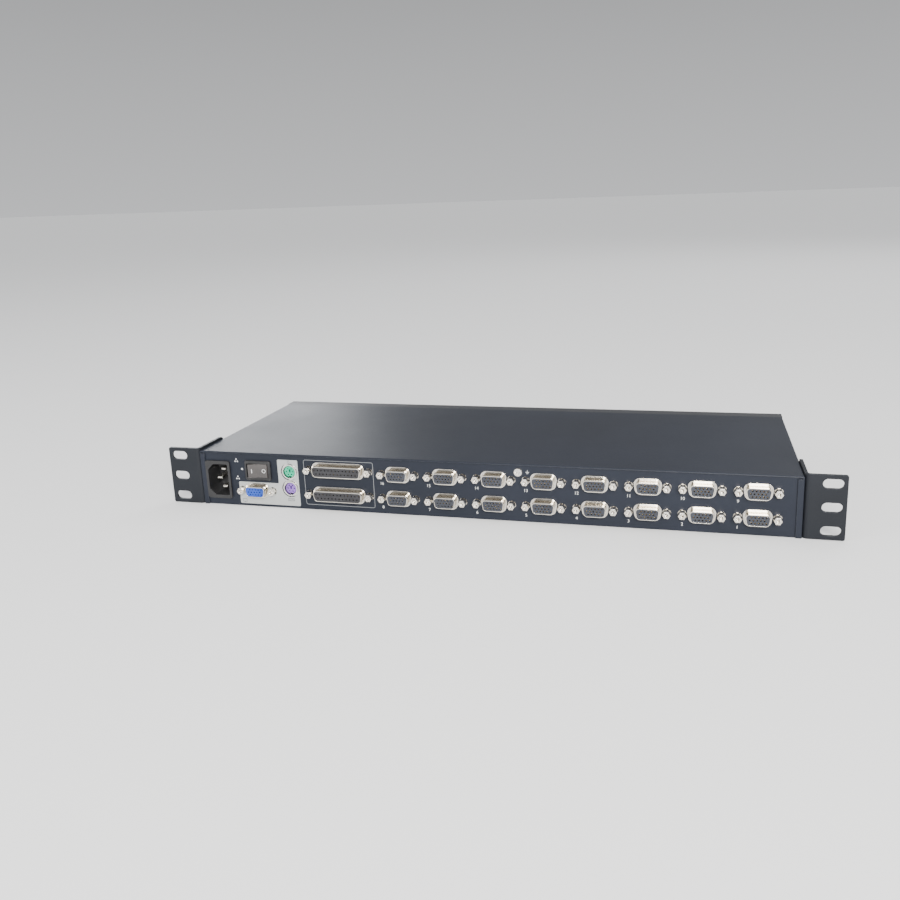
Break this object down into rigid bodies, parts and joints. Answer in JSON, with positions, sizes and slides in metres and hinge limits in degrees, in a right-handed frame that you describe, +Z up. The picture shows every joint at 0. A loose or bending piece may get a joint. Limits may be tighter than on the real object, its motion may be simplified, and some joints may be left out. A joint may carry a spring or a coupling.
{
  "type": "kvm switch",
  "caption": "Rack-mount keyboard, video and mouse switch: a slim steel case with slotted ears, rows of D sockets on one face and selector buttons on the other.",
  "frame": {"origin": "bottom centre of the bounding box, on the surface that the case stands on", "axes": "+X along the port panel, to the right when the port panel is looked at; +Y from the port panel to the control panel; +Z up"},
  "size_m": [0.4826, 0.1666, 0.0438],
  "materials": {
    "case_paint": "fine-textured black powder coat",
    "ear_paint": "fine-textured black powder coat",
    "bezel_plastic": "fine spark-eroded texture",
    "case_screw_black": "black zinc plating",
    "shell_nickel": "bright nickel plating",
    "jack_nickel": "bright nickel plating",
    "ground_nickel": "bright nickel plating",
    "contact_body": "glass-filled thermoplastic, dark blue-black",
    "video_body": "glass-filled thermoplastic, blue",
    "chain_body": "glass-filled thermoplastic, black",
    "socket_shield": "tinned steel",
    "keyboard_plastic": "moulded thermoplastic, purple",
    "mouse_plastic": "moulded thermoplastic, green",
    "print_grey": "screen-printed polyester film, light grey",
    "inlet_plastic": "moulded thermoplastic, black",
    "blade_nickel": "nickel-plated brass",
    "switch_plastic": "moulded nylon, black",
    "rocker_plastic": "polished nylon, black",
    "board_laminate": "green solder mask on glass laminate",
    "spacer_steel": "zinc-plated steel",
    "chip_epoxy": "moulded epoxy",
    "transformer_core": "ferrite core and taped winding",
    "capacitor_sleeve": "shrink sleeve",
    "lead_insulation": "flexible insulation",
    "tact_plastic": "moulded nylon",
    "lens_clear": "moulded light pipe",
    "display_dark": "dark red tinted epoxy",
    "button_plastic": "moulded thermoplastic, mid grey",
    "reset_plastic": "moulded nylon",
    "slider_plastic": "moulded nylon, off-white",
    "modular_plastic": "moulded thermoplastic, black"
  },
  "bodies": {
    "chassis": {"base_tray": "case_paint", "board_chips": "chip_epoxy", "board_spacers": "spacer_steel", "button_board": "board_laminate", "case_screws": "case_screw_black", "chain_housing": "chain_body", "chain_shells": "shell_nickel", "console_film": "print_grey", "dual_port_shell_1": "shell_nickel", "dual_port_shell_2": "shell_nickel", "dual_port_shell_3": "shell_nickel", "dual_port_shell_4": "shell_nickel", "dual_port_shell_5": "shell_nickel", "dual_port_shell_6": "shell_nickel", "dual_port_shell_7": "shell_nickel", "dual_port_shell_8": "shell_nickel", "ear_screws": "case_screw_black", "front_bezel": "bezel_plastic", "ground_screw": "ground_nickel", "indicator_lenses": "lens_clear", "inlet_blades": "blade_nickel", "internal_wiring": "lead_insulation", "jackscrews": "jack_nickel", "keyboard_insert": "keyboard_plastic", "main_board": "board_laminate", "mouse_insert": "mouse_plastic", "port_housings": "contact_body", "power_inlet": "inlet_plastic", "power_switch_frame": "switch_plastic", "rack_ear_left": "ear_paint", "rack_ear_right": "ear_paint", "round_socket_shield": "socket_shield", "station_display": "display_dark", "supply_board": "board_laminate", "supply_capacitors": "capacitor_sleeve", "supply_transformer": "transformer_core", "tact_switches": "tact_plastic", "top_cover": "case_paint", "update_socket": "modular_plastic", "video_housing": "video_body", "video_shell": "shell_nickel"},
    "port_button_01": {"port_button_01": "button_plastic"},
    "port_button_02": {"port_button_02": "button_plastic"},
    "port_button_03": {"port_button_03": "button_plastic"},
    "port_button_04": {"port_button_04": "button_plastic"},
    "port_button_05": {"port_button_05": "button_plastic"},
    "port_button_06": {"port_button_06": "button_plastic"},
    "port_button_07": {"port_button_07": "button_plastic"},
    "port_button_08": {"port_button_08": "button_plastic"},
    "port_button_09": {"port_button_09": "button_plastic"},
    "port_button_10": {"port_button_10": "button_plastic"},
    "port_button_11": {"port_button_11": "button_plastic"},
    "port_button_12": {"port_button_12": "button_plastic"},
    "port_button_13": {"port_button_13": "button_plastic"},
    "port_button_14": {"port_button_14": "button_plastic"},
    "port_button_15": {"port_button_15": "button_plastic"},
    "port_button_16": {"port_button_16": "button_plastic"},
    "power_rocker": {"power_rocker": "rocker_plastic"},
    "reset_button": {"reset_button": "reset_plastic"},
    "update_slider": {"update_slider": "slider_plastic"}
  },
  "joints": [
    {"name": "port_button_01_press", "type": "slide", "parent": "chassis", "child": "port_button_01", "axis": [0, -1, 0], "range_m": [0, 0.0012], "stiffness_N_per_m": 600, "springref_m": -0.0005},
    {"name": "port_button_02_press", "type": "slide", "parent": "chassis", "child": "port_button_02", "axis": [0, -1, 0], "range_m": [0, 0.0012], "stiffness_N_per_m": 600, "springref_m": -0.0005},
    {"name": "port_button_03_press", "type": "slide", "parent": "chassis", "child": "port_button_03", "axis": [0, -1, 0], "range_m": [0, 0.0012], "stiffness_N_per_m": 600, "springref_m": -0.0005},
    {"name": "port_button_04_press", "type": "slide", "parent": "chassis", "child": "port_button_04", "axis": [0, -1, 0], "range_m": [0, 0.0012], "stiffness_N_per_m": 600, "springref_m": -0.0005},
    {"name": "port_button_05_press", "type": "slide", "parent": "chassis", "child": "port_button_05", "axis": [0, -1, 0], "range_m": [0, 0.0012], "stiffness_N_per_m": 600, "springref_m": -0.0005},
    {"name": "port_button_06_press", "type": "slide", "parent": "chassis", "child": "port_button_06", "axis": [0, -1, 0], "range_m": [0, 0.0012], "stiffness_N_per_m": 600, "springref_m": -0.0005},
    {"name": "port_button_07_press", "type": "slide", "parent": "chassis", "child": "port_button_07", "axis": [0, -1, 0], "range_m": [0, 0.0012], "stiffness_N_per_m": 600, "springref_m": -0.0005},
    {"name": "port_button_08_press", "type": "slide", "parent": "chassis", "child": "port_button_08", "axis": [0, -1, 0], "range_m": [0, 0.0012], "stiffness_N_per_m": 600, "springref_m": -0.0005},
    {"name": "port_button_09_press", "type": "slide", "parent": "chassis", "child": "port_button_09", "axis": [0, -1, 0], "range_m": [0, 0.0012], "stiffness_N_per_m": 600, "springref_m": -0.0005},
    {"name": "port_button_10_press", "type": "slide", "parent": "chassis", "child": "port_button_10", "axis": [0, -1, 0], "range_m": [0, 0.0012], "stiffness_N_per_m": 600, "springref_m": -0.0005},
    {"name": "port_button_11_press", "type": "slide", "parent": "chassis", "child": "port_button_11", "axis": [0, -1, 0], "range_m": [0, 0.0012], "stiffness_N_per_m": 600, "springref_m": -0.0005},
    {"name": "port_button_12_press", "type": "slide", "parent": "chassis", "child": "port_button_12", "axis": [0, -1, 0], "range_m": [0, 0.0012], "stiffness_N_per_m": 600, "springref_m": -0.0005},
    {"name": "port_button_13_press", "type": "slide", "parent": "chassis", "child": "port_button_13", "axis": [0, -1, 0], "range_m": [0, 0.0012], "stiffness_N_per_m": 600, "springref_m": -0.0005},
    {"name": "port_button_14_press", "type": "slide", "parent": "chassis", "child": "port_button_14", "axis": [0, -1, 0], "range_m": [0, 0.0012], "stiffness_N_per_m": 600, "springref_m": -0.0005},
    {"name": "port_button_15_press", "type": "slide", "parent": "chassis", "child": "port_button_15", "axis": [0, -1, 0], "range_m": [0, 0.0012], "stiffness_N_per_m": 600, "springref_m": -0.0005},
    {"name": "port_button_16_press", "type": "slide", "parent": "chassis", "child": "port_button_16", "axis": [0, -1, 0], "range_m": [0, 0.0012], "stiffness_N_per_m": 600, "springref_m": -0.0005},
    {"name": "power_rocker_tilt", "type": "hinge", "parent": "chassis", "child": "power_rocker", "pos_m": [-0.168, -0.0763, 0.0284], "axis": [0, 0, 1], "range_deg": [-18, 0]},
    {"name": "reset_button_press", "type": "slide", "parent": "chassis", "child": "reset_button", "axis": [0, -1, 0], "range_m": [0, 0.0008], "stiffness_N_per_m": 500, "springref_m": -0.0005},
    {"name": "update_slider_slide", "type": "slide", "parent": "chassis", "child": "update_slider", "axis": [1, 0, 0], "range_m": [0, 0.003]}
  ]
}
